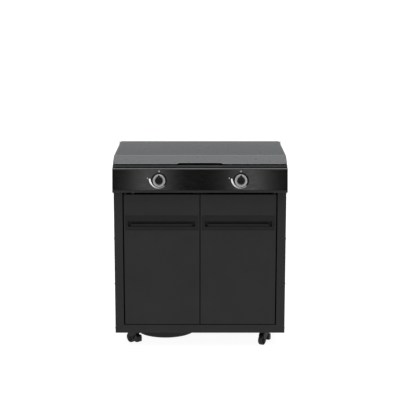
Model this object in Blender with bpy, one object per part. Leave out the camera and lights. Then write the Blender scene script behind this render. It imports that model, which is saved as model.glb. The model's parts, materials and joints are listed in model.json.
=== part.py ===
"""Two-burner flat top griddle: a hinged lid over a griddle plate, on a two-door cabinet with four casters.

Metres: +X is the right side, -Y the front and +Z up. The origin is on the floor under the middle of the
object's bounding box, which runs from the knobs' faces to the grease cup's lip.
"""

import math

import bmesh
import bpy
from mathutils import Matrix, Vector
from mathutils.geometry import interpolate_bezier

# ---- Driving dimensions ----
SHEET = 0.0015
GAP = 0.0004
HALF_WIDTH = 0.405
FRONT_Y = -0.265
BACK_Y = 0.235
UNDERSIDE_Z = 0.078
CABINET_TOP_Z = 0.790

OPENING_HALF_WIDTH = 0.364
OPENING_Z = (0.118, 0.764)
DOOR_Z = (0.122, 0.753)
DOOR_DEPTH = 0.020
DOOR_OUTER_X = 0.358
DOOR_INNER_X = 0.002
DOOR_PIN_X = 0.350
DOOR_PIN_Y = FRONT_Y + 0.010
HANDLE_WINDOW_Z = (0.582, 0.6535)

PANEL_LEAN = math.radians(10.71)
PANEL_FOOT = (FRONT_Y - 0.029, 0.769)
LEDGE_Z = 0.880
BODY_BACK_Y = 0.2798
BODY_HALF_WIDTH = 0.4070

KNOB_X = 0.191
KNOB_UP = 0.0544
KNOB_RADIUS = 0.018
KNOB_HEIGHT = 0.0245

RIM_Z = (0.8804, 0.8908)
HINGE_Y = 0.2795
HINGE_Z = 0.9065
LID_HALF_WIDTH = 0.4070

BURNER_Z = 0.812
BURNER_LEG_X = 0.085
MANIFOLD_Y = FRONT_Y + 0.0236
MANIFOLD_Z = 0.7935
MANIFOLD_RADIUS = 0.0065

TANK_X = -0.169
TANK_Y = -0.025
TANK_RADIUS = 0.150

CASTER_X = 0.316
CASTER_FRONT_Y = -0.183
CASTER_REAR_Y = 0.153
WHEEL_RADIUS = 0.025
WHEEL_TRAIL = 0.027

SIDES = {"left": -1, "right": 1}
DOWN = Vector((0, 0, -1))
FORWARD = Vector((0, -1, 0))

# Name: colour, roughness, metallic
FINISHES = {
    "matte_black_paint": ((0.020, 0.020, 0.021), 0.55, 0.0),
    "lid_paint": ((0.060, 0.062, 0.064), 0.42, 0.0),
    "gloss_black_enamel": ((0.008, 0.008, 0.009), 0.12, 0.0),
    "griddle_steel": ((0.035, 0.034, 0.033), 0.45, 0.9),
    "zinc_steel": ((0.55, 0.56, 0.57), 0.35, 1.0),
    "stainless_steel": ((0.62, 0.62, 0.61), 0.28, 1.0),
    "cast_brass": ((0.55, 0.42, 0.20), 0.38, 1.0),
    "knob_plastic": ((0.012, 0.012, 0.013), 0.30, 0.0),
    "satin_chrome": ((0.70, 0.70, 0.71), 0.22, 1.0),
    "handle_plastic": ((0.014, 0.014, 0.015), 0.50, 0.0),
    "caster_plastic": ((0.015, 0.015, 0.016), 0.48, 0.0),
    "wheel_rubber": ((0.022, 0.022, 0.023), 0.70, 0.0),
    "ceramic": ((0.80, 0.79, 0.75), 0.30, 0.0),
}


# ---- Geometry helpers ----
def finish(name):
    """The named material, made on its first use."""
    made = bpy.data.materials.get(name)
    if made:
        return made
    color, roughness, metallic = FINISHES[name]
    made = bpy.data.materials.new(name)
    made.use_nodes = True
    shader = made.node_tree.nodes["Principled BSDF"]
    shader.inputs["Base Color"].default_value = (*color, 1)
    shader.inputs["Roughness"].default_value = roughness
    shader.inputs["Metallic"].default_value = metallic
    return made


def both_ways(half, centre=0.0):
    """The low and high ends of a span about its centre."""
    return (centre - half, centre + half)


def ordered(a, b):
    return (min(a, b), max(a, b))


def spot(axis, u, v, w):
    """The point with coordinates u and v across an axis and w along it."""
    return {"x": (w, u, v), "y": (u, w, v), "z": (u, v, w)}[axis]


def rectangle(axis, u, v, level):
    """Four corners across an axis, from a span of each other coordinate."""
    return [spot(axis, *corner, level) for corner in ((u[0], v[0]), (u[1], v[0]), (u[1], v[1]), (u[0], v[1]))]


def along(axis, point=(0, 0, 0)):
    """A frame at a point whose Z runs along the row's axis x, y or z."""
    turn = {
        "x": Matrix.Rotation(math.pi / 2, 4, "Y"),
        "y": Matrix.Rotation(-math.pi / 2, 4, "X"),
        "z": Matrix(),
    }[axis]
    return Matrix.Translation(point) @ turn


def panel_point(up, behind=0.0):
    """A (y, z) point a distance up the slanted control panel's face, and a distance behind that face."""
    lean_sin, lean_cos = math.sin(PANEL_LEAN), math.cos(PANEL_LEAN)
    y = PANEL_FOOT[0] + lean_sin * up + lean_cos * behind
    z = PANEL_FOOT[1] + lean_cos * up - lean_sin * behind
    return (y, z)


def knob_frame(side):
    """A knob's frame on the panel's face: Z stands out of the panel and Y points up its slant."""
    y, z = panel_point(KNOB_UP)
    return Matrix.Translation((side * KNOB_X, y, z)) @ Matrix.Rotation(math.pi / 2 - PANEL_LEAN, 4, "X")


def rounded(before, corner, after, radius, steps=5):
    """The points of an arc that rounds one corner of a 2D outline."""
    corner = Vector(corner)
    back = (Vector(before) - corner).normalized()
    ahead = (Vector(after) - corner).normalized()
    half_angle = back.angle(ahead) / 2
    centre = corner + (back + ahead).normalized() * radius / math.sin(half_angle)
    first = corner + back * radius / math.tan(half_angle) - centre
    last = corner + ahead * radius / math.tan(half_angle) - centre
    turn = math.atan2(first.x * last.y - first.y * last.x, first.dot(last))
    return [tuple(centre + Matrix.Rotation(turn * step / steps, 2) @ first) for step in range(steps + 1)]


def arc(centre, radius, start, end, steps):
    """Points of a circle between two angles in degrees."""
    angles = [math.radians(start + (end - start) * step / steps) for step in range(steps + 1)]
    return [(centre[0] + radius * math.cos(a), centre[1] + radius * math.sin(a)) for a in angles]


def add_box(bm, x, y, z):
    """Adds a box from its span on each axis."""
    centre = Vector([sum(span) / 2 for span in (x, y, z)])
    size = [high - low for low, high in (x, y, z)]
    bmesh.ops.create_cube(bm, size=1, matrix=Matrix.LocRotScale(centre, None, size))


def add_prism(bm, outline, axis, span):
    """Adds a solid with one outline all along a span of an axis."""
    start, end = span
    face = bm.faces.new([bm.verts.new(spot(axis, u, v, start)) for u, v in outline])
    made = bmesh.ops.extrude_face_region(bm, geom=[face])["geom"]
    moved = [item for item in made if isinstance(item, bmesh.types.BMVert)]
    bmesh.ops.translate(bm, verts=moved, vec=spot(axis, 0, 0, end - start))
    bmesh.ops.recalc_face_normals(bm, faces=bm.faces)


def add_turned(bm, profile, steps, place=Matrix()):
    """Adds a body turned about its own Z axis. The (radius, height) profile closes itself off the axis."""
    profile_points = [bm.verts.new((radius, 0, height)) for radius, height in profile]
    pairs = list(zip(profile_points, profile_points[1:]))
    if profile[0][0] > 0:
        pairs.append((profile_points[-1], profile_points[0]))
    edges = [bm.edges.new(pair) for pair in pairs]
    older = set(bm.verts) - set(profile_points)
    bmesh.ops.spin(bm, geom=profile_points + edges, axis=(0, 0, 1), angle=math.tau, steps=steps)
    newer = [point for point in bm.verts if point not in older]
    bmesh.ops.remove_doubles(bm, verts=newer, dist=1e-6)
    newer = [point for point in bm.verts if point not in older]
    bmesh.ops.transform(bm, matrix=place, verts=newer)
    bmesh.ops.recalc_face_normals(bm, faces=bm.faces)


def add_rod(bm, radius, span, steps=16, place=Matrix()):
    low, high = span
    add_turned(bm, [(0, low), (radius, low), (radius, high), (0, high)], steps, place)


def add_pipe(bm, path, radius, sides):
    """Adds a round bar along a path whose points lie close together at its bends."""
    path = [Vector(point) for point in path]
    rings = []
    across = Vector((0, 0, 1))
    for index, point in enumerate(path):
        ahead = (path[min(index + 1, len(path) - 1)] - path[max(index - 1, 0)]).normalized()
        across = (across - ahead * across.dot(ahead)).normalized()
        upright = ahead.cross(across)
        angles = [math.tau * side / sides for side in range(sides)]
        offsets = [across * math.cos(a) + upright * math.sin(a) for a in angles]
        rings.append([bm.verts.new(point + offset * radius) for offset in offsets])
    for low, high in zip(rings, rings[1:]):
        for side in range(sides):
            after = (side + 1) % sides
            bm.faces.new((low[side], low[after], high[after], high[side]))
    bm.faces.new(rings[0])
    bm.faces.new(rings[-1])
    bmesh.ops.recalc_face_normals(bm, faces=bm.faces)


def make_part(name, bm, finish_name, place=Matrix()):
    """A named object with one finish, made from a finished bmesh."""
    mesh = bpy.data.meshes.new(name)
    bm.to_mesh(mesh)
    bm.free()
    mesh.materials.append(finish(finish_name))
    part = bpy.data.objects.new(name, mesh)
    part.matrix_world = place
    bpy.context.scene.collection.objects.link(part)
    return part


def make_boxes(name, boxes, finish_name="zinc_steel", place=Matrix()):
    """One object of separate boxes, each given by its spans on X, Y and Z."""
    bm = bmesh.new()
    for spans in boxes:
        add_box(bm, *spans)
    return make_part(name, bm, finish_name, place)


def make_rods(name, radius, places, span, steps=16, finish_name="zinc_steel"):
    """One object of equal round rods, one at each place."""
    bm = bmesh.new()
    for place in places:
        add_rod(bm, radius, span, steps, place)
    return make_part(name, bm, finish_name)


def make_prism(name, outline, axis, span, finish_name="zinc_steel", place=Matrix()):
    bm = bmesh.new()
    add_prism(bm, outline, axis, span)
    return make_part(name, bm, finish_name, place)


def make_turned(name, profile, finish_name, place=Matrix(), steps=32):
    bm = bmesh.new()
    add_turned(bm, profile, steps, place)
    part = make_part(name, bm, finish_name)
    part.data.shade_smooth()
    part.data.set_sharp_from_angle(angle=math.radians(35))
    return part


def bands(loops, closed=True):
    """Quads between each loop of points and the next."""
    faces = []
    for first, second in zip(loops, loops[1:]):
        count = len(first)
        for index in range(count if closed else count - 1):
            after = (index + 1) % count
            faces.append([first[index], first[after], second[after], second[index]])
    return faces


def folded_sheet(name, faces, outward, finish_name, thickness=SHEET):
    """A sheet-metal part from its outer faces. The first face looks outward, with the thickness behind it."""
    bm = bmesh.new()
    for face in faces:
        bm.faces.new([bm.verts.new(point) for point in face])
    bmesh.ops.remove_doubles(bm, verts=bm.verts, dist=1e-6)
    bmesh.ops.recalc_face_normals(bm, faces=bm.faces)
    bm.faces.ensure_lookup_table()
    if bm.faces[0].normal.dot(outward) < 0:
        bmesh.ops.reverse_faces(bm, faces=bm.faces)
    part = make_part(name, bm, finish_name)
    solidify = part.modifiers.new("Thickness", "SOLIDIFY")
    solidify.thickness = thickness
    solidify.offset = -1
    solidify.solidify_mode = "NON_MANIFOLD"
    solidify.nonmanifold_thickness_mode = "CONSTRAINTS"
    return part


def combine(part, other, operation):
    """Joins another solid to a part, or cuts it out of the part, and hides the other."""
    other.hide_render = True
    other.display_type = "WIRE"
    boolean = part.modifiers.new(other.name, "BOOLEAN")
    boolean.operation = operation
    boolean.object = other


def make_pivot(name, place):
    """An empty on a joint's axis."""
    empty = bpy.data.objects.new(name, None)
    empty.matrix_world = place
    bpy.context.scene.collection.objects.link(empty)
    bpy.context.view_layer.update()
    return empty


def hang_on(pivot, *parts):
    """Parents parts to a pivot without moving them."""
    for part in parts:
        part.parent = pivot
        part.matrix_parent_inverse = pivot.matrix_world.inverted()


# ---- Cabinet ----
def make_front_frame():
    """The flat frame round the doors, folded back along the opening's edges."""
    fold_depth = 0.030
    outer = rectangle("y", both_ways(HALF_WIDTH), (UNDERSIDE_Z, CABINET_TOP_Z), FRONT_Y)
    inner = rectangle("y", both_ways(OPENING_HALF_WIDTH), OPENING_Z, FRONT_Y)
    folded = rectangle("y", both_ways(OPENING_HALF_WIDTH), OPENING_Z, FRONT_Y + fold_depth)
    folded_sheet("front_frame", bands([outer, inner, folded]), FORWARD, "matte_black_paint")


def make_side_panel(name, side):
    """A cabinet side with narrow flanges turned inward all round."""
    flange = 0.012
    y = (FRONT_Y + SHEET + GAP, BACK_Y - SHEET - GAP)
    z = (UNDERSIDE_Z + GAP, CABINET_TOP_Z)
    face = rectangle("x", y, z, side * HALF_WIDTH)
    edge = rectangle("x", y, z, side * (HALF_WIDTH - flange))
    faces = [face, *bands([face, edge])]
    folded_sheet(f"{name}_side_panel", faces, Vector((side, 0, 0)), "matte_black_paint")


def make_back_panel():
    """The cabinet's back, with two rows of vent slots low and high."""
    slot_half_length, slot_half_height = 0.030, 0.003
    panel = make_boxes(
        "back_panel",
        [(both_ways(HALF_WIDTH - GAP), (BACK_Y - SHEET, BACK_Y), (UNDERSIDE_Z + GAP, CABINET_TOP_Z))],
        "matte_black_paint",
    )
    slots = [
        (both_ways(slot_half_length, x), both_ways(0.01, BACK_Y), both_ways(slot_half_height, z))
        for x in (-0.27, -0.19, -0.11, 0.11, 0.19, 0.27)
        for z in (0.150, 0.170, 0.705, 0.725)
    ]
    combine(panel, make_boxes("back_vent_cutter", slots), "DIFFERENCE")


def make_bottom_panel():
    """The cabinet floor, open where the cylinder tray hangs through it."""
    y = (FRONT_Y + 2 * SHEET + 2 * GAP, BACK_Y - 2 * SHEET - 2 * GAP)
    low = UNDERSIDE_Z + SHEET + 2 * GAP - 0.0001
    panel = make_boxes(
        "bottom_panel", [(both_ways(HALF_WIDTH - 0.002), y, (low, low + SHEET))], "matte_black_paint"
    )
    hole_radius, hole_place = TANK_RADIUS + 0.0015, Matrix.Translation((TANK_X, TANK_Y, low))
    hole = make_rods("tray_hole_cutter", hole_radius, [hole_place], both_ways(0.02), 40)
    combine(panel, hole, "DIFFERENCE")


def make_tank_tray():
    """The round dish that holds a gas cylinder's foot below the cabinet floor."""
    bottom_z, corner, flange_z, flange_radius = 0.0215, 0.010, 0.0820, TANK_RADIUS + 0.014
    outside = [(0, bottom_z), *arc((TANK_RADIUS - corner, bottom_z + corner), corner, -90, 0, 3)]
    outside += [(TANK_RADIUS, flange_z), (flange_radius, flange_z), (flange_radius, flange_z + SHEET)]
    inside = [(TANK_RADIUS - SHEET, flange_z + SHEET)]
    inside += arc((TANK_RADIUS - corner, bottom_z + corner), corner - SHEET, 0, -90, 3)
    inside += [(0, bottom_z + SHEET)]
    place = Matrix.Translation((TANK_X, TANK_Y, 0))
    make_turned("tank_tray", outside + inside, "matte_black_paint", place, 40)


# ---- Casters ----
def make_caster(name, x, y, trailing, has_brake):
    """A twin-cheek swivel caster. In its own frame the swivel axis is Z and the wheel trails towards +X."""
    plate_top_z, race_z = UNDERSIDE_Z + SHEET + GAP - 0.0001, (0.0715, 0.0776)
    fork_top_z, disc_low_z = 0.0711, 0.0650
    plate_half, plate_thickness, race_radius = 0.028, 0.0025, 0.017
    stem = Matrix.Translation((x, y, 0))
    plate = make_boxes(
        f"caster_plate_{name}",
        [(both_ways(plate_half, x), both_ways(plate_half, y), (plate_top_z - plate_thickness, plate_top_z))],
    )
    race = make_rods(f"caster_race_{name}", race_radius, [stem], race_z, 24)
    combine(plate, race, "UNION")

    frame = stem @ Matrix.Rotation(math.radians(trailing), 4, "Z")
    axle = along("y", (WHEEL_TRAIL, 0, WHEEL_RADIUS))
    cheek_half, slot_half, slot_top_z = 0.0140, 0.0115, 0.0545
    cheek = [(0.019, fork_top_z), (0.036, 0.050), *arc((WHEEL_TRAIL, WHEEL_RADIUS), 0.010, 0, -180, 6)]
    cheek += [(-0.010, 0.045), (-0.019, 0.052), (-0.019, fork_top_z)]
    fork = make_prism(f"caster_fork_{name}", cheek, "y", both_ways(cheek_half), "caster_plastic")
    slot = make_boxes(f"wheel_slot_{name}", [(both_ways(0.06), both_ways(slot_half), (-0.01, slot_top_z))])
    disc = make_rods(f"swivel_disc_{name}", 0.0175, [Matrix()], (disc_low_z, fork_top_z), 24)
    pin = make_rods(f"wheel_axle_{name}", 0.003, [axle], both_ways(0.015))
    combine(fork, slot, "DIFFERENCE")
    combine(fork, disc, "UNION")
    combine(fork, pin, "UNION")

    swivel = make_pivot(f"swivel_axis_{name}", frame)
    for piece in (fork, slot, disc, pin):
        piece.parent = swivel
    roll = make_pivot(f"roll_axis_{name}", frame @ axle)
    make_wheel(f"caster_wheel_{name}").parent = roll
    if has_brake:
        make_brake_pedal(name, frame)


def make_wheel(name):
    """A caster wheel about its own Z axis, dished on both sides between hub and tread."""
    bore, hub, dish, rim, tread_start = 0.0036, 0.0085, 0.0170, 0.0185, 0.0230
    half, dish_half, shoulder = 0.010, 0.006, 0.002
    near = [(bore, -half), (hub, -half), (hub + 0.0015, -dish_half), (dish, -dish_half), (rim, -half)]
    near += [(tread_start, -half), (WHEEL_RADIUS, -half + shoulder)]
    far = [(radius, -height) for radius, height in reversed(near)]
    return make_turned(name, near + far, "wheel_rubber", steps=20)


def make_brake_pedal(name, frame):
    """A foot pedal on a cross pin, on the side of the fork away from the wheel."""
    hub_x, hub_z, hub_radius = -0.012, 0.0485, 0.005
    pedal_pivot = make_pivot(f"pedal_axis_{name}", frame @ Matrix.Translation((hub_x, 0, hub_z)))
    tongue = arc((0, 0), hub_radius, -70, 100, 5)
    tongue += [(-0.0130, -0.0035), (-0.0185, -0.0090), (-0.0195, -0.0200), (-0.0180, -0.0340)]
    tongue.append((-0.0030, -0.0340))
    pedal = make_prism(f"brake_pedal_{name}", tongue, "y", both_ways(0.0108), "caster_plastic")
    pad = [(0.0000, -0.0065), (-0.0075, -0.0030), (-0.0150, -0.0030), (-0.0195, -0.0080), (-0.0205, -0.0200)]
    pad += [(-0.0190, -0.0345), (-0.0010, -0.0345)]
    wide_pad = make_prism(f"pedal_pad_{name}", pad, "y", both_ways(0.0155), "caster_plastic")
    combine(pedal, wide_pad, "UNION")
    pedal.parent = pedal_pivot
    wide_pad.parent = pedal_pivot


# ---- Doors ----
def make_door_pins(name, side):
    """The lower and upper pivots of a door: a washer against the frame and a pin into the door's edge."""
    pin_radius, washer_radius = 0.003, 0.006
    lower_washer = (OPENING_Z[0] + GAP, DOOR_Z[0] - GAP)
    upper_washer = (DOOR_Z[1] + 0.0006, OPENING_Z[1] - GAP)
    place = Matrix.Translation((side * DOOR_PIN_X, DOOR_PIN_Y, 0))
    for level, washer, tip_z in (("lower", lower_washer, 0.134), ("upper", upper_washer, 0.742)):
        inner_z = washer[1] if level == "lower" else washer[0]
        outer_z = washer[0] if level == "lower" else washer[1]
        profile = [(0, outer_z), (washer_radius, outer_z), (washer_radius, inner_z)]
        profile += [(pin_radius, inner_z), (pin_radius, tip_z), (0, tip_z)]
        make_turned(f"{name}_door_{level}_pin", profile, "matte_black_paint", place, 16)


def make_door_catch():
    """The double magnet block above the middle of the doors."""
    behind_doors = FRONT_Y + DOOR_DEPTH + GAP
    spans = (both_ways(0.030), (behind_doors, behind_doors + 0.009), (0.740, OPENING_Z[1] - GAP))
    make_boxes("door_catch", [spans], "handle_plastic")


def make_door(name, side):
    """A hollow door pan with a window for its handle, and that handle behind the window."""
    flange = 0.012
    x = ordered(side * DOOR_OUTER_X, side * DOOR_INNER_X)
    inner_x = (x[0] + flange, x[1] - flange)
    inner_z = (DOOR_Z[0] + flange, DOOR_Z[1] - flange)
    back_y = FRONT_Y + DOOR_DEPTH
    front = rectangle("y", x, DOOR_Z, FRONT_Y)
    loops = [front, rectangle("y", x, DOOR_Z, back_y), rectangle("y", inner_x, inner_z, back_y)]
    panel = folded_sheet(f"{name}_door_panel", [front, *bands(loops)], FORWARD, "matte_black_paint")

    window_x = (x[0] + 0.006, x[1] - 0.006)
    window = make_boxes(
        f"{name}_window_cutter", [(window_x, both_ways(0.010, FRONT_Y), HANDLE_WINDOW_Z)]
    )
    pin_place = Matrix.Translation((side * DOOR_PIN_X, DOOR_PIN_Y, 0))
    pin_holes = make_rods(f"{name}_door_pin_cutter", 0.0033, [pin_place], (0.10, 0.80))
    combine(panel, window, "DIFFERENCE")
    combine(panel, pin_holes, "DIFFERENCE")

    handle_parts = make_door_handle(name, side)
    hinge = make_pivot(f"{name}_door_axis", pin_place)
    hang_on(hinge, panel, window, pin_holes, *handle_parts)


def make_door_handle(name, side):
    """A full-width band behind the door's window, with a finger pocket and a pull lip inside it."""
    band_y = (FRONT_Y + SHEET + 0.0003, FRONT_Y + SHEET + 0.0028)
    pocket_y = (band_y[0], FRONT_Y + 0.0195)
    lip_y = (FRONT_Y + 0.0065, FRONT_Y + 0.0095)
    band_x = ordered(side * 0.004, side * 0.356)
    pocket_x = ordered(side * 0.0235, side * 0.3395)
    lip_x = ordered(side * 0.036, side * 0.327)
    pocket_z, wall = (0.5985, 0.626), 0.002
    outer_x = (pocket_x[0] - wall, pocket_x[1] + wall)
    outer_z = (pocket_z[0] - wall, pocket_z[1] + wall)
    handle = make_boxes(f"{name}_door_handle", [(band_x, band_y, (0.576, 0.660))], "handle_plastic")
    body = make_boxes(f"{name}_pocket_body", [(outer_x, (band_y[0] + 0.0005, pocket_y[1]), outer_z)])
    pocket = make_boxes(f"{name}_pocket_cutter", [(pocket_x, (FRONT_Y - 0.01, pocket_y[1] - wall), pocket_z)])
    lip = make_boxes(f"{name}_pull_lip", [(lip_x, lip_y, (outer_z[0] + 0.001, 0.612))])
    combine(handle, body, "UNION")
    combine(handle, pocket, "DIFFERENCE")
    combine(handle, lip, "UNION")
    return handle, body, pocket, lip


# ---- Control panel and body ----
def make_bent_strip(name, outline, half_width, outward, finish_name, thickness):
    """A sheet with one (y, z) outline across the object's whole width."""
    loops = [[(-half_width, y, z), (half_width, y, z)] for y, z in outline]
    return folded_sheet(name, bands(loops, closed=False), outward, finish_name, thickness)


def make_control_box():
    """The bent sheet below the control panel, with a lip that steps in behind the panel's lower edge."""
    foot = panel_point(-0.00234)
    shelf = (FRONT_Y - 0.0006, foot[1])
    lip = panel_point(0.0092)
    outline = [shelf, *rounded(shelf, foot, lip, 0.004), lip]
    outline += [panel_point(0.0097, 0.0032), panel_point(0.034, 0.0032)]
    make_bent_strip("control_box", outline, BODY_HALF_WIDTH, DOWN, "matte_black_paint", 0.0012)


def make_control_fascia():
    """The slanted panel, rounded over at the top into a narrow ledge before the lid."""
    foot = panel_point(0.0105)
    corner = panel_point((LEDGE_Z - PANEL_FOOT[1]) / math.cos(PANEL_LEAN))
    ledge_end = (FRONT_Y + 0.0092, LEDGE_Z)
    outline = [foot, *rounded(foot, corner, ledge_end, 0.009, 8), ledge_end]
    half_width = BODY_HALF_WIDTH + 0.0002
    fascia = make_bent_strip("control_fascia", outline, half_width, FORWARD, "gloss_black_enamel", SHEET)
    knob_frames = [knob_frame(side) for side in SIDES.values()]
    holes = make_rods("stem_hole_cutter", 0.0085, knob_frames, both_ways(0.01), 24)
    combine(fascia, holes, "DIFFERENCE")


def make_body_side(name, side):
    """The end plate of the cooking body, cut to the control panel's slant."""
    foot = panel_point(-0.00234)
    corner = panel_point((LEDGE_Z - PANEL_FOOT[1]) / math.cos(PANEL_LEAN))
    lower_back, upper_back = (BODY_BACK_Y, foot[1]), (BODY_BACK_Y, LEDGE_Z)
    outline = rounded(lower_back, foot, corner, 0.004, 3) + rounded(foot, corner, upper_back, 0.009)
    outline += [upper_back, lower_back]
    x = ordered(side * (BODY_HALF_WIDTH + 0.0006), side * (BODY_HALF_WIDTH + 0.0020))
    make_prism(f"body_side_{name}", outline, "x", x, "matte_black_paint")


def make_body_rear():
    y = (BODY_BACK_Y - SHEET, BODY_BACK_Y)
    z = (panel_point(-0.00234)[1], LEDGE_Z - 0.0003)
    make_boxes("body_rear", [(both_ways(BODY_HALF_WIDTH), y, z)], "matte_black_paint")


def make_heat_shield():
    """The sheet between burners and cabinet. It ends before the grease chute and leaves a slot for air."""
    y = (FRONT_Y + 0.0446, BACK_Y)
    z = (CABINET_TOP_Z + 0.0006, CABINET_TOP_Z + 0.0006 + SHEET)
    make_boxes("heat_shield", [(both_ways(BODY_HALF_WIDTH - 0.0005), y, z)], "zinc_steel")


def make_firewall():
    """The sheet behind the control panel, with a hole for each burner's tube."""
    y = (FRONT_Y + 0.045, FRONT_Y + 0.045 + SHEET)
    wall = make_boxes("firewall", [(both_ways(BODY_HALF_WIDTH - 0.0005), y, (0.7925, 0.8690))], "zinc_steel")
    places = [along("y", (side * KNOB_X, y[0], BURNER_Z)) for side in SIDES.values()]
    combine(wall, make_rods("burner_hole_cutter", 0.0155, places, both_ways(0.01), 24), "DIFFERENCE")


# ---- Griddle ----
def make_top_rim():
    """The stepped frame round the cooking surface: a low wall, a shelf, and a lower shelf for the plate."""
    shelf_z, seat_z = RIM_Z[0], 0.8704
    outer_x, outer_y = both_ways(0.4085), (FRONT_Y + 0.010, 0.2806)
    well_x, well_y = both_ways(0.380), (-0.2350, 0.2620)
    seat_x, seat_y = both_ways(0.362), (-0.2170, 0.2562)
    loops = [
        rectangle("z", outer_x, outer_y, RIM_Z[1]),
        rectangle("z", outer_x, outer_y, shelf_z),
        rectangle("z", well_x, well_y, shelf_z),
        rectangle("z", well_x, well_y, seat_z),
        rectangle("z", seat_x, seat_y, seat_z),
    ]
    folded_sheet("top_rim", bands(loops), FORWARD, "matte_black_paint")


def make_griddle_plate():
    """The cooking slab with splash walls, lower in front, and a grease slot at the back."""
    x, y, z = both_ways(0.377), (-0.2320, 0.2590), (0.8724, 0.8930)
    wall, slab, lip_z = 0.004, 0.005, 0.884
    plate = make_boxes("griddle_plate", [(x, y, z)], "griddle_steel")
    well = ((x[0] + wall, x[1] - wall), (y[0] + wall, y[1] - wall), (z[0] + slab, z[1] + 0.01))
    slot = (both_ways(0.028), (0.239, 0.251), both_ways(0.02, z[0]))
    above_lip = [(y[0] - 0.07, lip_z), (y[0] + wall, lip_z), (-0.150, z[1] + 0.0002), (-0.150, 0.91)]
    above_lip.append((y[0] - 0.07, 0.91))
    combine(plate, make_boxes("griddle_well_cutter", [well]), "DIFFERENCE")
    combine(plate, make_prism("front_lip_cutter", above_lip, "x", both_ways(0.5)), "DIFFERENCE")
    combine(plate, make_boxes("grease_slot_cutter", [slot]), "DIFFERENCE")


def make_grease_chute():
    """The square duct from the plate's slot down to the cup. Its flange lies on the heat shield."""
    half, wall = 0.0322, 0.0012
    y, z = (0.2370, 0.2600), (0.764, 0.8675)
    flange = (both_ways(0.041), (0.2160, 0.2660), (0.7924, 0.7939))
    chute = make_boxes("grease_chute", [(both_ways(half), y, z)], "stainless_steel")
    duct = (both_ways(half - wall), (y[0] + wall, y[1] - wall), both_ways(0.2, z[0]))
    combine(chute, make_boxes("chute_flange", [flange]), "UNION")
    combine(chute, make_boxes("chute_duct_cutter", [duct]), "DIFFERENCE")


def make_cup_holder():
    """The two-rail bracket behind the cabinet that the grease cup slides into."""
    back_y = (BACK_Y + GAP, BACK_Y + GAP + 0.0012)
    holder = make_boxes("cup_holder", [(both_ways(0.075), back_y, (0.700, 0.762))], "zinc_steel")
    for name, side in SIDES.items():
        arm = (ordered(side * 0.0705, side * 0.0720), (BACK_Y + 0.0008, 0.3000), (0.735, 0.762))
        rail = (ordered(side * 0.0600, side * 0.0710), (BACK_Y + 0.0008, 0.3000), (0.7470, 0.7485))
        combine(holder, make_boxes(f"{name}_holder_arm", [arm]), "UNION")
        combine(holder, make_boxes(f"{name}_holder_rail", [rail]), "UNION")


def make_grease_cup():
    """The cup below the chute. Its rim hangs on the rails and its lip at the back pulls it out."""
    rim_z, bottom_z = 0.7488, 0.702
    lip_y = -knob_front_y()
    bottom = rectangle("z", both_ways(0.052), (0.244, 0.294), bottom_z)
    rim = rectangle("z", both_ways(0.0585), (0.2385, 0.2995), rim_z)
    flange = rectangle("z", both_ways(0.069), (0.2385, lip_y), rim_z)
    flange_faces = bands([rim, flange])[1:]
    faces = [bottom, *bands([bottom, rim]), *flange_faces]
    cup = folded_sheet("grease_cup", faces, DOWN, "stainless_steel", 0.0010)
    hang_on(make_pivot("grease_cup_slide", Matrix.Translation((0, rim[0][1], rim_z))), cup)


def knob_front_y():
    """The furthest forward that a knob reaches: the lower edge of its face."""
    return panel_point(KNOB_UP - KNOB_RADIUS, -KNOB_HEIGHT)[0]


# ---- Lid ----
def make_lid():
    """The flat lid with chamfered sides and a nose that slopes to the front, on two pins at the back."""
    def section(y, top, bottom):
        inset, drop = 0.006, min(0.003, 0.4 * (top - bottom))
        half = LID_HALF_WIDTH
        left = [(-half, y, bottom), (-half, y, top - drop), (-half + inset, y, top)]
        return left + [(-x, y, z) for x, y, z in reversed(left)]

    skirt_z, nose_skirt_z = 0.8960, 0.8980
    stations = [
        section(0.2860, 0.9224, skirt_z),
        section(HINGE_Y, 0.9279, skirt_z),
        section(-0.1830, 0.9274, skirt_z),
        section(-0.2610, 0.9010, nose_skirt_z),
    ]
    faces = [stations[0], *bands(stations, closed=False), stations[-1]]
    lid = folded_sheet("lid_shell", faces, Vector((0, 1, 0)), "lid_paint")
    notch_outline = [(-0.1075, 0.890), (-0.1055, 0.899), (-0.101, 0.902)]
    notch_outline += [(-x, z) for x, z in reversed(notch_outline)]
    notch = make_prism("finger_notch_cutter", notch_outline, "y", both_ways(0.02, FRONT_Y))
    pin_holes = make_rods("lid_pin_cutter", 0.0033, [along("x", (0, HINGE_Y, HINGE_Z))], both_ways(0.42))
    combine(lid, notch, "DIFFERENCE")
    combine(lid, pin_holes, "DIFFERENCE")
    hang_on(make_pivot("lid_axis", along("x", (0, HINGE_Y, HINGE_Z))), lid, notch, pin_holes)


def make_lid_bracket(name, side):
    """A hinge bracket on the body's side, with its pin through the lid's skirt."""
    y, foot_z, radius = (0.264, 0.298), 0.850, 0.017
    x = ordered(side * 0.4095, side * 0.4113)
    ear = arc((HINGE_Y, HINGE_Z + 0.0045), radius, 0, 180, 10)
    outline = [(y[0], foot_z), (y[1], foot_z), *ear]
    bracket = make_prism(f"lid_hinge_bracket_{name}", outline, "x", x, "matte_black_paint")
    frame = along("x", (0, HINGE_Y, HINGE_Z))
    pin = make_rods(f"lid_pin_{name}", 0.003, [frame], ordered(side * 0.3985, side * 0.4120))
    head = make_rods(f"lid_pin_head_{name}", 0.006, [frame], ordered(side * 0.4110, side * 0.4133))
    combine(bracket, pin, "UNION")
    combine(bracket, head, "UNION")


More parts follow.
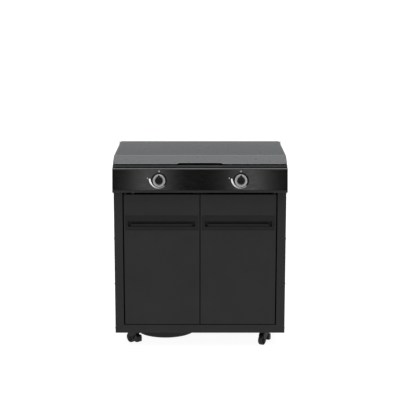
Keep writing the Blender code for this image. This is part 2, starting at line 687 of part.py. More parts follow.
# ---- Gas train ----
def make_gas_manifold():
    """The gas pipe under both valves, bent down through the cabinet's top to a hexagon inlet."""
    inlet_x, inlet_y = -0.318, FRONT_Y + 0.0375
    bend_start = Vector((-0.292, MANIFOLD_Y, MANIFOLD_Z))
    bend_end = Vector((inlet_x, inlet_y, 0.768))
    bend = interpolate_bezier(
        bend_start, bend_start - Vector((0.018, 0, 0)), bend_end + Vector((0, 0, 0.022)), bend_end, 9
    )
    bm = bmesh.new()
    add_pipe(bm, [(0.235, MANIFOLD_Y, MANIFOLD_Z), *bend, (inlet_x, inlet_y, 0.750)], MANIFOLD_RADIUS, 16)
    pipe = make_part("gas_manifold", bm, "zinc_steel")
    inlet_place = Matrix.Translation((inlet_x, inlet_y, 0))
    inlet = make_rods("manifold_inlet", 0.009, [inlet_place], (0.738, 0.752), 6)
    bore = make_rods("inlet_bore_cutter", 0.005, [inlet_place], (0.73, 0.746), 12)
    combine(pipe, inlet, "UNION")
    combine(pipe, bore, "DIFFERENCE")


def make_burner(name, side):
    """An H-shaped pipe burner: two legs, a crossbar, a mixing tube from the valve and two feet."""
    x, leg_radius, legs_y = side * KNOB_X, 0.010, (-0.145, 0.205)
    crossbar_y = -0.030
    leg_frames = [along("y", (x + way * BURNER_LEG_X, 0, BURNER_Z)) for way in (-1, 1)]
    burner = make_rods(f"burner_{name}", leg_radius, leg_frames[:1], legs_y, 16, "stainless_steel")
    other_leg = make_rods(f"burner_leg_{name}", leg_radius, leg_frames[1:], legs_y, 16)
    bar_frame = along("x", (x, crossbar_y, BURNER_Z))
    bar = make_rods(f"burner_bar_{name}", 0.0098, [bar_frame], both_ways(BURNER_LEG_X), 16)
    tube_frame = along("y", (x, 0, BURNER_Z))
    tube_start = FRONT_Y + 0.0435
    tube = make_rods(f"mixing_tube_{name}", 0.014, [tube_frame], (tube_start, crossbar_y + 0.014), 20)
    bore = make_rods(f"mixing_bore_{name}", 0.012, [tube_frame], (tube_start - 0.01, crossbar_y - 0.02), 20)
    feet_half, feet_y, feet_z = 0.006, 0.190, (CABINET_TOP_Z + 0.0025, BURNER_Z)
    feet_x = [both_ways(feet_half, x + way * BURNER_LEG_X) for way in (-1, 1)]
    feet_spans = [(foot_x, both_ways(feet_half, feet_y), feet_z) for foot_x in feet_x]
    feet = make_boxes(f"burner_feet_{name}", feet_spans)
    for piece in (other_leg, bar, tube, feet):
        combine(burner, piece, "UNION")
    combine(burner, bore, "DIFFERENCE")


def make_igniter(name, side):
    """The electrode that lights a burner: a flanged rod on the firewall that ends above a burner leg."""
    place = along("y", (side * KNOB_X - BURNER_LEG_X, 0, BURNER_Z + 0.015))
    start = FRONT_Y + 0.045 + SHEET + 0.0003
    flange_radius, flange_end, rod_radius, tip = 0.007, start + 0.003, 0.003, -0.135
    profile = [(0, start), (flange_radius, start), (flange_radius, flange_end), (rod_radius, flange_end)]
    profile += [(rod_radius, tip), (0, tip)]
    make_turned(f"igniter_{name}", profile, "ceramic", place, 12)


def make_valve(name, side):
    """The gas valve behind a knob: a block with a stem bore, a jet at its back and a neck to the manifold."""
    frame = knob_frame(side)
    block_z, half = (-0.060, -0.030), 0.011
    block = (both_ways(half), both_ways(half), block_z)
    valve = make_boxes(f"valve_body_{name}", [block], "cast_brass", frame)
    jet = make_rods(f"valve_jet_{name}", 0.003, [frame], (-0.066, -0.058), 12)
    neck_frame = Matrix.Translation((side * KNOB_X, MANIFOLD_Y, 0))
    neck_z = (MANIFOLD_Z + MANIFOLD_RADIUS + 0.0003, 0.808)
    neck = make_rods(f"valve_neck_{name}", 0.005, [neck_frame], neck_z, 12)
    bore = make_rods(f"valve_bore_{name}", 0.0043, [frame], (-0.055, -0.02), 16)
    combine(valve, jet, "UNION")
    combine(valve, neck, "UNION")
    combine(valve, bore, "DIFFERENCE")


# ---- Knobs ----
def make_knob(name, side):
    """A knob: its push collar, its stem, a metal dial ring and a grip with a pointer."""
    frame = knob_frame(side)
    grip_foot, grip_bore, ring_inner, ring_outer, ring_top = 0.0037, 0.0042, 0.0183, 0.0298, 0.010
    collar_profile = ring_profile(0.0045, 0.0085, (-0.022, -0.018))
    collar = make_turned(f"stem_collar_{name}", collar_profile, "zinc_steel", frame, 24)
    stem_profile = [(0, -0.050), (0.004, -0.050), (0.004, 0.004), (0, 0.004)]
    stem = make_turned(f"valve_stem_{name}", stem_profile, "zinc_steel", frame, 16)
    bevel = 0.0012
    ring = ring_profile(ring_inner, ring_outer, (grip_foot, ring_top))
    ring[2:3] = [(ring_outer, ring_top - bevel), (ring_outer - bevel, ring_top)]
    dial_ring = make_turned(f"knob_ring_{name}", ring, "satin_chrome", frame, 40)

    grip_profile = [(0, 0.012), (grip_bore, 0.012), (grip_bore, grip_foot), (KNOB_RADIUS, grip_foot)]
    grip_profile += [(KNOB_RADIUS, KNOB_HEIGHT - bevel), (KNOB_RADIUS - bevel, KNOB_HEIGHT), (0, KNOB_HEIGHT)]
    grip = make_turned(f"knob_grip_{name}", grip_profile, "knob_plastic", frame, 32)
    pointer_outline = [(-0.006, 0.012), (0.006, 0.012), (0.0008, 0.0285), (-0.0008, 0.0285)]
    pointer_span = (ring_top + 0.0004, KNOB_HEIGHT - 0.0002)
    pointer = make_prism(f"knob_pointer_{name}", pointer_outline, "z", pointer_span, "knob_plastic", frame)
    combine(grip, pointer, "UNION")

    push_axis = make_pivot(f"knob_push_axis_{name}", frame)
    turn_axis = make_pivot(f"knob_turn_axis_{name}", frame)
    hang_on(push_axis, collar, turn_axis)
    hang_on(turn_axis, stem, dial_ring, grip, pointer)


def ring_profile(inner, outer, span):
    return [(inner, span[0]), (outer, span[0]), (outer, span[1]), (inner, span[1])]


def main():
    for obj in list(bpy.data.objects):
        bpy.data.objects.remove(obj)

    make_front_frame()
    make_back_panel()
    make_bottom_panel()
    make_tank_tray()
    make_door_catch()
    make_control_box()
    make_control_fascia()
    make_body_rear()
    make_heat_shield()
    make_firewall()
    make_top_rim()
    make_griddle_plate()
    make_grease_chute()
    make_cup_holder()
    make_grease_cup()
    make_lid()
    make_gas_manifold()
    for name, side in SIDES.items():
        make_side_panel(name, side)
        make_door_pins(name, side)
        make_door(name, side)
        make_body_side(name, side)
        make_lid_bracket(name, side)
        make_burner(name, side)
        make_igniter(name, side)
        make_valve(name, side)
        make_knob(name, side)
    make_caster("front_left", -CASTER_X, CASTER_FRONT_Y, 135, has_brake=True)
    make_caster("front_right", CASTER_X, CASTER_FRONT_Y, -122, has_brake=True)
    make_caster("rear_left", -CASTER_X, CASTER_REAR_Y, 100, has_brake=False)
    make_caster("rear_right", CASTER_X, CASTER_REAR_Y, 80, has_brake=False)


main()
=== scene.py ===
"""The two-burner griddle cabinet's looks: finishes, soft edges, fine details, floor, lights and camera."""

import json
import math

import bmesh
import bpy
from mathutils import Matrix, Vector


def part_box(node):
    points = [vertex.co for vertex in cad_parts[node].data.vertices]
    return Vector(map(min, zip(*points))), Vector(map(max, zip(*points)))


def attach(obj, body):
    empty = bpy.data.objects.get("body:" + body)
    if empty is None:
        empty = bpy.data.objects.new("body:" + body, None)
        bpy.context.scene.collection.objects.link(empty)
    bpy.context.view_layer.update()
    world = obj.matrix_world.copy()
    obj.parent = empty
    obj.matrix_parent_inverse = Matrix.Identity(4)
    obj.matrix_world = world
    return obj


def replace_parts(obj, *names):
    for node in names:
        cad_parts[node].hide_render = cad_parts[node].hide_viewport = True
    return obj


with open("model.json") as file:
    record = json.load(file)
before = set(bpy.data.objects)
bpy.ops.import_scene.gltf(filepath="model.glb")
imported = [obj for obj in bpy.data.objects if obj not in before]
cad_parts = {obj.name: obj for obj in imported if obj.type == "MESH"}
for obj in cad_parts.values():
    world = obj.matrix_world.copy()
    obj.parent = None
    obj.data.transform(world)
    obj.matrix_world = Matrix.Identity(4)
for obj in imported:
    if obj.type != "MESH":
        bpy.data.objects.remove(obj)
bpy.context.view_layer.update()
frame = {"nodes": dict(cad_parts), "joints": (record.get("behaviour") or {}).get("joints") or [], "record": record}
NODES = frame["nodes"]
JOINTS = {joint["name"]: joint for joint in frame["joints"]}
SLOTS = {entry["slot"]: entry for entry in frame["record"]["materials"]}
SIDES = {"left": -1, "right": 1}
CASTERS = ("front_left", "front_right", "rear_left", "rear_right")


# ---- Camera, floor and lights ----
EYE_HEIGHT = 1.767
EYE_DISTANCE = 5.559
LOOK_DOWN = math.radians(11.11)
FLOOR_REACH = 80.0
# The sky's grey level at each height of the view's direction, from -1 straight down to 1 straight up.
SKY_LEVELS = [(-1.0, 0.72), (0.04, 0.72), (0.12, 0.02), (0.28, 0.03), (0.47, 0.85), (0.72, 0.50), (1.0, 0.80)]


def make_camera():
    """Looks at the front from eye height, a little downward."""
    camera = bpy.data.objects.new("camera", bpy.data.cameras.new("camera"))
    camera.data.lens = 103.55
    camera.data.sensor_width = 36.0
    camera.data.clip_end = 200
    camera.location = (0, -EYE_DISTANCE, EYE_HEIGHT)
    camera.rotation_euler = (math.pi / 2 - LOOK_DOWN, 0, 0)
    bpy.context.scene.collection.objects.link(camera)
    bpy.context.scene.camera = camera


def make_floor():
    """A matte floor that glows, so that it reads as white right out to the horizon."""
    bm = bmesh.new()
    bmesh.ops.create_grid(bm, x_segments=1, y_segments=1, size=FLOOR_REACH)
    mesh = bpy.data.meshes.new("floor")
    bm.to_mesh(mesh)
    bm.free()
    paint = bpy.data.materials.new("floor_paint")
    paint.use_nodes = True
    shader = paint.node_tree.nodes["Principled BSDF"]
    shader.inputs["Base Color"].default_value = (0.20, 0.20, 0.20, 1)
    shader.inputs["Roughness"].default_value = 0.9
    shader.inputs["Specular IOR Level"].default_value = 0.0
    shader.inputs["Emission Color"].default_value = (1, 1, 1, 1)
    shader.inputs["Emission Strength"].default_value = 0.94
    mesh.materials.append(paint)
    floor = bpy.data.objects.new("floor", mesh)
    bpy.context.scene.collection.objects.link(floor)


def make_sky():
    """A studio surround: pale at the horizon, dim above it, and bright overhead."""
    world = bpy.data.worlds.new("studio")
    world.use_nodes = True
    tree = world.node_tree
    direction = tree.nodes.new("ShaderNodeTexCoord").outputs["Generated"]
    split = tree.nodes.new("ShaderNodeSeparateXYZ")
    stretch = tree.nodes.new("ShaderNodeMapRange")
    stretch.inputs["From Min"].default_value = -1
    ramp = tree.nodes.new("ShaderNodeValToRGB")
    ramp.color_ramp.interpolation = "EASE"
    stops = ramp.color_ramp.elements
    while len(stops) < len(SKY_LEVELS):
        stops.new(0.5)
    for stop, (height, level) in zip(stops, SKY_LEVELS):
        stop.position = (height + 1) / 2
        stop.color = (level, level, level, 1)
    tree.links.new(direction, split.inputs[0])
    tree.links.new(split.outputs["Z"], stretch.inputs["Value"])
    tree.links.new(stretch.outputs["Result"], ramp.inputs["Fac"])
    tree.links.new(ramp.outputs["Color"], tree.nodes["Background"].inputs["Color"])
    bpy.context.scene.world = world


def make_area_light(name, place, target, size, power):
    """A rectangular soft light aimed at a point, and not itself seen."""
    light = bpy.data.objects.new(name, bpy.data.lights.new(name, "AREA"))
    light.data.shape = "RECTANGLE"
    light.data.size, light.data.size_y = size
    light.data.energy = power
    light.location = place
    light.rotation_euler = (Vector(target) - Vector(place)).to_track_quat("-Z", "Y").to_euler()
    light.visible_camera = False
    bpy.context.scene.collection.objects.link(light)


def make_lights():
    """A broad overhead sun, and two tall boxes that mirror in the gloss panel."""
    sun = bpy.data.objects.new("overhead", bpy.data.lights.new("overhead", "SUN"))
    sun.data.energy = 2.6
    sun.data.angle = math.radians(60)
    sun.rotation_euler = (math.radians(8), 0, 0)
    bpy.context.scene.collection.objects.link(sun)
    panel_middle = (0, -0.28, 0.83)
    box_size = (0.24, 0.7)
    for side in SIDES.values():
        make_area_light(f"front_box_{side}", (side * 0.45, -5.3, 1.80), panel_middle, box_size, 1.4)
    bpy.context.scene.view_settings.view_transform = "Standard"
    bpy.context.scene.view_settings.look = "None"


# ---- Finishes ----
class Finish:
    """Builds one material. Patterns are in object coordinates, which are metres."""

    def __init__(self, name, **fixed):
        entry = SLOTS[name]
        self.color = tuple(entry["base_color"][:3])
        self.material = bpy.data.materials.new(name)
        self.material.use_nodes = True
        self.tree = self.material.node_tree
        self.shader = self.tree.nodes["Principled BSDF"]
        self.shader.inputs["Base Color"].default_value = (*self.color, 1)
        for socket, value in fixed.items():
            self.shader.inputs[socket.replace("_", " ")].default_value = value
        self.place = self.tree.nodes.new("ShaderNodeTexCoord").outputs["Object"]

    def noise(self, scale, detail=2.0, stretch=(1, 1, 1)):
        """Noise with features about 1 / scale metres wide, longer where stretch is small."""
        mapping = self.tree.nodes.new("ShaderNodeMapping")
        mapping.inputs["Scale"].default_value = stretch
        noise = self.tree.nodes.new("ShaderNodeTexNoise")
        noise.inputs["Scale"].default_value = scale
        noise.inputs["Detail"].default_value = detail
        self.tree.links.new(self.place, mapping.inputs["Vector"])
        self.tree.links.new(mapping.outputs[0], noise.inputs["Vector"])
        return noise.outputs["Fac"]

    def cells(self, scale):
        """A random level for each of many small cells."""
        cells = self.tree.nodes.new("ShaderNodeTexVoronoi")
        cells.inputs["Scale"].default_value = scale
        self.tree.links.new(self.place, cells.inputs["Vector"])
        level = self.tree.nodes.new("ShaderNodeSeparateColor")
        self.tree.links.new(cells.outputs["Color"], level.inputs[0])
        return level.outputs[0]

    def spread(self, value, low, high, start=0.3, end=0.7):
        """The value, stretched from start..end to low..high."""
        spread = self.tree.nodes.new("ShaderNodeMapRange")
        for socket, number in (("From Min", start), ("From Max", end), ("To Min", low), ("To Max", high)):
            spread.inputs[socket].default_value = number
        self.tree.links.new(value, spread.inputs["Value"])
        return spread.outputs["Result"]

    def mix(self, factor, first, second):
        """A blend of two colours. The factor runs from 0 for the first to 1 for the second."""
        mix = self.tree.nodes.new("ShaderNodeMix")
        mix.data_type = "RGBA"
        for index, color in ((6, first), (7, second)):
            if isinstance(color, tuple):
                mix.inputs[index].default_value = (*color, 1)
            else:
                self.tree.links.new(color, mix.inputs[index])
        self.tree.links.new(factor, mix.inputs[0])
        return mix.outputs[2]

    def shade(self, amount):
        """The finish's own colour, darker or lighter by a share."""
        return tuple(channel * amount for channel in self.color)

    def color_by(self, factor, first, second):
        """Sets the base colour to a blend of two colours."""
        self.tree.links.new(self.mix(factor, first, second), self.shader.inputs["Base Color"])

    def rough_by(self, value, low, high):
        """Lets a pattern set the roughness, from low to high."""
        self.tree.links.new(self.spread(value, low, high), self.shader.inputs["Roughness"])

    def bump_by(self, height, depth, strength=1.0):
        """Adds a relief of a given depth in metres on top of any earlier one."""
        bump = self.tree.nodes.new("ShaderNodeBump")
        bump.inputs["Distance"].default_value = depth
        bump.inputs["Strength"].default_value = strength
        self.tree.links.new(height, bump.inputs["Height"])
        previous = self.shader.inputs["Normal"].links
        if previous:
            self.tree.links.new(previous[0].from_socket, bump.inputs["Normal"])
        self.tree.links.new(bump.outputs["Normal"], self.shader.inputs["Normal"])


def powder_coat(name, rough, shades, specular, grain=0.00006):
    """Baked powder paint: a fine leathery grain with faint clouds in its sheen."""
    coat = Finish(name, Specular_IOR_Level=specular)
    low_shade, high_shade = shades
    clouds = coat.noise(7, 3)
    coat.color_by(coat.spread(clouds, 0, 1), coat.shade(low_shade), coat.shade(high_shade))
    coat.rough_by(coat.noise(40, 3), *rough)
    coat.bump_by(coat.noise(900, 2), grain, 0.5)
    return coat.material


def gloss_enamel(name):
    """Fired enamel: mirror smooth, with a slow orange peel and faint wiping marks."""
    enamel = Finish(name, Specular_IOR_Level=0.5)
    enamel.color_by(enamel.spread(enamel.noise(9, 2), 0, 1), enamel.shade(0.06), enamel.shade(0.09))
    enamel.rough_by(enamel.noise(30, 4, (1, 4, 4)), 0.11, 0.15)
    enamel.bump_by(enamel.noise(110, 1), 0.00002, 0.4)
    return enamel.material


def seasoned_steel(name):
    """A used griddle slab: baked-on brown and black clouds over ground steel."""
    slab = Finish(name, Metallic=0.75)
    clouds = slab.spread(slab.noise(9, 6), 0, 1, 0.35, 0.65)
    brown = (0.050, 0.036, 0.025)
    grinding = slab.noise(500, 2, (0.02, 1, 1))
    slab.color_by(clouds, slab.shade(0.7), brown)
    slab.rough_by(slab.noise(22, 5), 0.30, 0.58)
    slab.bump_by(grinding, 0.00003, 0.5)
    slab.bump_by(slab.noise(260, 4), 0.00008, 0.4)
    return slab.material


def zinc_plate(name):
    """Bright zinc: small spangles with their own tints, and a cloudy sheen."""
    zinc = Finish(name, Metallic=1.0)
    zinc.color_by(zinc.cells(160), zinc.shade(0.80), zinc.shade(1.08))
    zinc.rough_by(zinc.noise(60, 4), 0.26, 0.44)
    zinc.bump_by(zinc.noise(1200, 2), 0.00003, 0.4)
    return zinc.material


def brushed_steel(name):
    """Stainless sheet with long fine scratches."""
    steel = Finish(name, Metallic=1.0)
    scratches = steel.noise(900, 3, (0.02, 1, 1))
    steel.color_by(steel.spread(steel.noise(12, 3), 0, 1), steel.shade(0.88), steel.shade(1.04))
    steel.rough_by(scratches, 0.22, 0.38)
    steel.bump_by(scratches, 0.00002, 0.5)
    return steel.material


def cast_metal(name, low, high):
    """Cast metal with a sandy skin and a roughness between low and high."""
    metal = Finish(name, Metallic=1.0)
    metal.color_by(metal.spread(metal.noise(90, 5), 0, 1), metal.shade(0.75), metal.shade(1.1))
    metal.rough_by(metal.noise(200, 4), low, high)
    metal.bump_by(metal.noise(700, 3), 0.0001, 0.6)
    return metal.material


def moulded_plastic(name, rough, shades, grain):
    """Moulded plastic with a spark-eroded grain of a given depth."""
    plastic = Finish(name, Specular_IOR_Level=0.22)
    low_shade, high_shade = shades
    clouds = plastic.noise(25, 3)
    plastic.color_by(plastic.spread(clouds, 0, 1), plastic.shade(low_shade), plastic.shade(high_shade))
    plastic.rough_by(plastic.noise(150, 3), *rough)
    plastic.bump_by(plastic.noise(1500, 2), grain, 0.6)
    return plastic.material


def satin_metal(name):
    """Satin plating over a turned face, with very fine grain."""
    metal = Finish(name, Metallic=0.85)
    metal.color_by(metal.spread(metal.noise(300, 3), 0, 1), metal.shade(0.66), metal.shade(0.74))
    metal.rough_by(metal.noise(800, 3), 0.34, 0.46)
    metal.bump_by(metal.noise(2500, 2), 0.00001, 0.5)
    return metal.material


def tread_rubber(name):
    """Hard caster rubber: matte, with dusty patches."""
    rubber = Finish(name, Specular_IOR_Level=0.3)
    dust = (0.038, 0.036, 0.034)
    patches = rubber.spread(rubber.noise(70, 5), 0, 1, 0.45, 0.75)
    rubber.color_by(patches, rubber.shade(0.6), dust)
    rubber.rough_by(rubber.noise(120, 4), 0.62, 0.85)
    rubber.bump_by(rubber.noise(1100, 3), 0.00008, 0.6)
    return rubber.material


def glazed_ceramic(name):
    """White insulator glaze with a few darker specks."""
    glaze = Finish(name, Coat_Weight=0.3)
    glaze.color_by(glaze.spread(glaze.noise(600, 2), 0, 1, 0.6, 0.8), glaze.color, glaze.shade(0.7))
    glaze.rough_by(glaze.noise(200, 2), 0.22, 0.36)
    glaze.bump_by(glaze.noise(900, 2), 0.00003, 0.4)
    return glaze.material


def silver_print():
    """Silver screen print. It is palest at the start of its sweep and fades along it."""
    ink = Finish("satin_chrome", Specular_IOR_Level=0.3)
    ink.material.name = "silver_print"
    split = ink.tree.nodes.new("ShaderNodeSeparateXYZ")
    ink.tree.links.new(ink.place, split.inputs[0])
    fade = ink.spread(split.outputs["X"], 0, 1, -0.046, 0.004)
    ink.color_by(fade, (0.86, 0.86, 0.86), (0.30, 0.30, 0.30))
    ink.rough_by(ink.noise(900, 2), 0.45, 0.60)
    return ink.material


PRINT = silver_print()
MATERIALS = {
    "matte_black_paint": powder_coat("matte_black_paint", (0.50, 0.60), (0.86, 0.98), 0.16),
    "lid_paint": powder_coat("lid_paint", (0.27, 0.32), (1.56, 1.64), 0.45, 0.000005),
    "gloss_black_enamel": gloss_enamel("gloss_black_enamel"),
    "griddle_steel": seasoned_steel("griddle_steel"),
    "zinc_steel": zinc_plate("zinc_steel"),
    "stainless_steel": brushed_steel("stainless_steel"),
    "cast_brass": cast_metal("cast_brass", 0.32, 0.48),
    "knob_plastic": moulded_plastic("knob_plastic", (0.24, 0.34), (0.35, 0.45), 0.00001),
    "satin_chrome": satin_metal("satin_chrome"),
    "handle_plastic": moulded_plastic("handle_plastic", (0.46, 0.58), (0.32, 0.40), 0.00004),
    "caster_plastic": moulded_plastic("caster_plastic", (0.42, 0.54), (0.20, 0.28), 0.00005),
    "wheel_rubber": tread_rubber("wheel_rubber"),
    "ceramic": glazed_ceramic("ceramic"),
}
# A lighter, glossier copy of the body paint for the rim: its lighter colour is painted light against the shade
# under the lid.
RIM_PAINT_WITH_PAINTED_LIGHT = powder_coat("matte_black_paint", (0.42, 0.50), (1.5, 1.7), 0.50)
# A much lighter copy of the lid paint for the front bead: a painted highlight along the lid's rolled edge.
HEM_PAINTED_HIGHLIGHT = powder_coat("lid_paint", (0.24, 0.30), (3.2, 3.5), 0.50)


# ---- Edges of the CAD nodes ----
EDGE_WIDTH = 0.0004
EDGE_WIDTHS = {
    "cast_brass": 0.0010,
    "caster_plastic": 0.0012,
    "knob_plastic": 0.0008,
    "handle_plastic": 0.0006,
    "griddle_steel": 0.0008,
}


def soften(node, width, segments=2):
    """Gives a node its real, slightly rounded edges, and shades its curved faces smooth."""
    mesh = node.data
    mesh.polygons.foreach_set("use_smooth", [True] * len(mesh.polygons))
    if "custom_normal" in mesh.attributes:
        mesh.attributes.remove(mesh.attributes["custom_normal"])
    weld = node.modifiers.new("Weld", "WELD")
    weld.merge_threshold = 0.00001
    dissolve = node.modifiers.new("Dissolve", "DECIMATE")
    dissolve.decimate_type = "DISSOLVE"
    dissolve.angle_limit = math.radians(0.5)
    add_bevel(node, width, segments)


def add_bevel(obj, width, segments=2, angle=35):
    """Rounds every edge that turns by more than an angle, and keeps the flat faces looking flat."""
    bevel = obj.modifiers.new("Bevel", "BEVEL")
    bevel.limit_method = "ANGLE"
    bevel.angle_limit = math.radians(angle)
    bevel.width = width
    bevel.segments = segments
    normals = obj.modifiers.new("Normals", "WEIGHTED_NORMAL")
    normals.keep_sharp = True


def finish_nodes():
    """Gives every CAD node its slot's finish and its edges. The rim wears a lighter, glossier copy of its paint:
    the lighter colour is painted light that lifts the shade under the lid.
    """
    for entry in frame["record"]["subparts"]:
        node, slot = NODES[entry["node"]], entry["material_slot"]
        node.data.materials.clear()
        node.data.materials.append(RIM_PAINT_WITH_PAINTED_LIGHT if entry["node"] == "top_rim" else MATERIALS[slot])
        soften(node, EDGE_WIDTHS.get(slot, EDGE_WIDTH))


# ---- Geometry helpers ----
def make_piece(name, bm, slot, body, bevel=0.0, place=Matrix()):
    """A smooth-shaded piece with one finish that rides on a body. Its mesh is in the frame called place."""
    mesh = bpy.data.meshes.new(name)
    bm.to_mesh(mesh)
    bm.free()
    mesh.materials.append(MATERIALS[slot])
    mesh.shade_smooth()
    piece = bpy.data.objects.new(name, mesh)
    piece.matrix_world = place
    bpy.context.scene.collection.objects.link(piece)
    if bevel:
        add_bevel(piece, bevel)
    else:
        mesh.set_sharp_from_angle(angle=math.radians(40))
    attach(piece, body)
    return piece


def rounded(points, radius, steps=4, closed=True):
    """A 2D outline with round corners. One radius serves every corner, or a list gives each its own."""
    radii = radius if isinstance(radius, (list, tuple)) else [radius] * len(points)
    made = []
    for index, point in enumerate(points):
        ends = not closed and index in (0, len(points) - 1)
        corner = Vector(point)
        if ends or radii[index] == 0:
            made.append(tuple(corner))
            continue
        back = (Vector(points[index - 1]) - corner).normalized()
        ahead = (Vector(points[(index + 1) % len(points)]) - corner).normalized()
        half_angle = back.angle(ahead) / 2
        centre = corner + (back + ahead).normalized() * radii[index] / math.sin(half_angle)
        first = corner + back * radii[index] / math.tan(half_angle) - centre
        last = corner + ahead * radii[index] / math.tan(half_angle) - centre
        turn = math.atan2(first.x * last.y - first.y * last.x, first.dot(last))
        made += [tuple(centre + Matrix.Rotation(turn * step / steps, 2) @ first) for step in range(steps + 1)]
    return made


def add_turned(bm, profile, steps, place=Matrix()):
    """Adds a body turned about its own Z axis. The (radius, height) profile closes itself off the axis."""
    older = set(bm.verts)
    points = [bm.verts.new((radius, 0, height)) for radius, height in profile]
    pairs = list(zip(points, points[1:]))
    if profile[0][0] > 0:
        pairs.append((points[-1], points[0]))
    edges = [bm.edges.new(pair) for pair in pairs]
    bmesh.ops.spin(bm, geom=points + edges, axis=(0, 0, 1), angle=math.tau, steps=steps)
    newer = [point for point in bm.verts if point not in older]
    bmesh.ops.remove_doubles(bm, verts=newer, dist=1e-6)
    newer = [point for point in bm.verts if point not in older]
    faces = list({face for point in newer for face in point.link_faces})
    bmesh.ops.recalc_face_normals(bm, faces=faces)
    bmesh.ops.transform(bm, matrix=place, verts=newer)


def add_prism(bm, outline, low, high, place=Matrix()):
    """Adds a solid with an (x, y) outline from one height to another in its own frame."""
    count = len(outline)
    rings = [[bm.verts.new(place @ Vector((x, y, z))) for x, y in outline] for z in (low, high)]
    faces = [bm.faces.new(rings[0]), bm.faces.new(rings[1])]
    for index in range(count):
        after = (index + 1) % count
        faces.append(bm.faces.new((rings[0][index], rings[0][after], rings[1][after], rings[1][index])))
    bmesh.ops.recalc_face_normals(bm, faces=faces)


def circle(radius, steps, centre=(0, 0)):
    """The corners of a round outline."""
    angles = [math.tau * step / steps for step in range(steps)]
    return [(centre[0] + radius * math.cos(a), centre[1] + radius * math.sin(a)) for a in angles]


def box_outline(x, y):
    """The corners of a rectangle between two x and two y values."""
    return [(x[0], y[0]), (x[1], y[0]), (x[1], y[1]), (x[0], y[1])]


def facing(normal, point, up=(0, 0, 1)):
    """A frame at a point whose Z is the normal and whose Y is as near to up as it can be."""
    z = Vector(normal).normalized()
    x = Vector(up).cross(z)
    if x.length < 1e-6:
        x = Vector((1, 0, 0))
    x.normalize()
    y = z.cross(x)
    turn = Matrix((x, y, z)).transposed().to_4x4()
    return Matrix.Translation(point) @ turn


def add_screw(bm, place, radius=0.0035):
    """Adds a pan-head screw with a cross recess, standing on the plane Z = 0 of its frame."""
    height, sides = radius * 0.55, 20
    arm, depth, half = radius * 0.52, radius * 0.30, radius * 0.13
    profile = [(radius, 0), (radius, height * 0.35), (radius * 0.86, height * 0.75), (radius * 0.62, height)]
    rings = [[bm.verts.new(place @ Vector((x, y, z))) for x, y in circle(r, sides)] for r, z in profile]
    faces = [bm.faces.new(rings[0][::-1])]
    for low, high in zip(rings, rings[1:]):
        for side in range(sides):
            after = (side + 1) % sides
            faces.append(bm.faces.new((low[side], low[after], high[after], high[side])))
    cross = []
    for quarter in range(4):
        turn = Matrix.Rotation(math.tau * quarter / 4, 3, "Z")
        cross += [turn @ Vector(point) for point in ((half, half, 0), (half, arm, 0), (-half, arm, 0))]
    top = [bm.verts.new(place @ (point + Vector((0, 0, height)))) for point in cross]
    floor = [bm.verts.new(place @ (point * 0.75 + Vector((0, 0, height - depth)))) for point in cross]
    count = len(cross)
    for index in range(count):
        after = (index + 1) % count
        faces.append(bm.faces.new((top[index], top[after], floor[after], floor[index])))
    faces.append(bm.faces.new(floor))
    edges = loop_edges(bm, rings[-1]) + loop_edges(bm, top)
    filled = bmesh.ops.triangle_fill(bm, edges=edges)["geom"]
    faces += [item for item in filled if isinstance(item, bmesh.types.BMFace)]
    bmesh.ops.recalc_face_normals(bm, faces=faces)


def loop_edges(bm, ring):
    """The edges round a closed ring of points."""
    return [bm.edges.get((point, ring[(index + 1) % len(ring)])) for index, point in enumerate(ring)]


def make_screws(name, places, body, slot="zinc_steel", radius=0.0035):
    """One piece with a screw at every place."""
    bm = bmesh.new()
    for place in places:
        add_screw(bm, place, radius)
    return make_piece(name, bm, slot, body)


# ---- Lid ----
LID_LOW, LID_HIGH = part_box("lid_shell")
LID_SHEET = 0.0015
LID_BEND_Y = -0.183
LID_BACK_EDGE_Z = 0.9224
LID_PIN = JOINTS["lid_hinge"]["pos_m"]
NOSE_Z = 0.901
NOSE_SKIRT_Z = 0.898
SLOPE_TOP_Z = LID_HIGH.z - 0.0005
NOTCH_HALF_WIDTH = 0.101
NOTCH_TOP_Z = 0.902
HEM_RADIUS = 0.0014


def lid_spine():
    """The (y, z) points of the lid's top from back to front: back slope, flat top, soft bend, slope, nose."""
    bend_reach, bend_radius, nose_reach = 0.007, 0.020, 0.007
    spine = [
        (LID_HIGH.y, LID_BACK_EDGE_Z),
        (LID_PIN[1], LID_HIGH.z),
        (LID_BEND_Y + bend_reach, SLOPE_TOP_Z),
        (LID_BEND_Y - bend_reach, LID_HIGH.z - 0.0030),
        (LID_LOW.y + nose_reach, NOSE_Z + 0.0023),
        (LID_LOW.y, NOSE_Z),
    ]
    return rounded(spine, [0, 0.003, bend_radius, bend_radius, 0, 0], 6, closed=False)


def lid_section(half_width, top, skirt):
    """The (x, z) points across the lid: skirt, rounded chamfer and flat top."""
    inset, drop = 0.006, min(0.003, 0.4 * (top - skirt))
    radius = 0.3 * drop
    left = [(-half_width, skirt), (-half_width, top - drop), (-half_width + inset, top), (0, top)]
    left = rounded(left, [0, radius, radius * 2, 0], 4, closed=False)[:-1]
    return left + [(-x, z) for x, z in reversed(left)]


